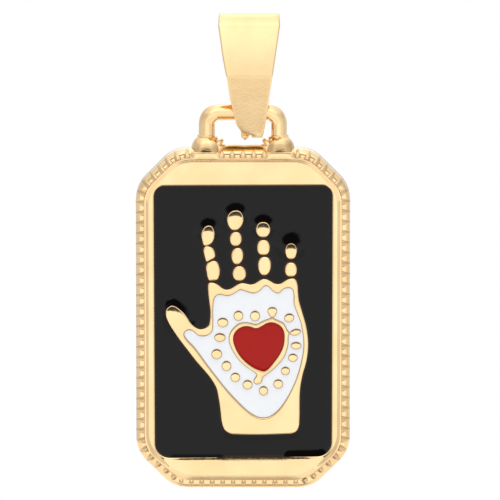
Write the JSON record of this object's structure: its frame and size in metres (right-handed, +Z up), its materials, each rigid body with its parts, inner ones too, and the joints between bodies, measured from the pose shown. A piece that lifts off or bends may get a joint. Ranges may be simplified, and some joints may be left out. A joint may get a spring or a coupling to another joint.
{
  "type": "rectangle pendant",
  "caption": "Rectangular pendant with cut corners, a ribbed rim and an enamelled hand and heart in relief, hung by a wire loop from a tapered strap bail.",
  "frame": {"origin": "the chain seat: the inside of the bail at its top, in the middle plane of the body, where a chain carries the pendant", "axes": "+Z up along the hanging pendant, front face towards -Y, +X to the right as the front is looked at"},
  "size_m": [0.0172, 0.0052, 0.0383],
  "materials": {
    "gold_plate": "cast brass, polished and gold plated",
    "gold_bail": "brass strap, stamped, folded, polished and gold plated",
    "black_enamel": "glossy black soft enamel, poured and cured",
    "white_enamel": "glossy white soft enamel, poured and cured",
    "red_enamel": "glossy red soft enamel, poured and cured"
  },
  "bodies": {
    "bail": {"bail": "gold_bail"},
    "pendant": {"plate": "gold_plate", "black_enamel": "black_enamel", "white_enamel": "white_enamel", "red_enamel": "red_enamel"}
  },
  "joints": [
    {"name": "pendant_swing", "type": "hinge", "parent": "bail", "child": "pendant", "pos_m": [0, 0, -0.00742], "axis": [1, 0, 0], "range_deg": [-100, 100]}
  ]
}
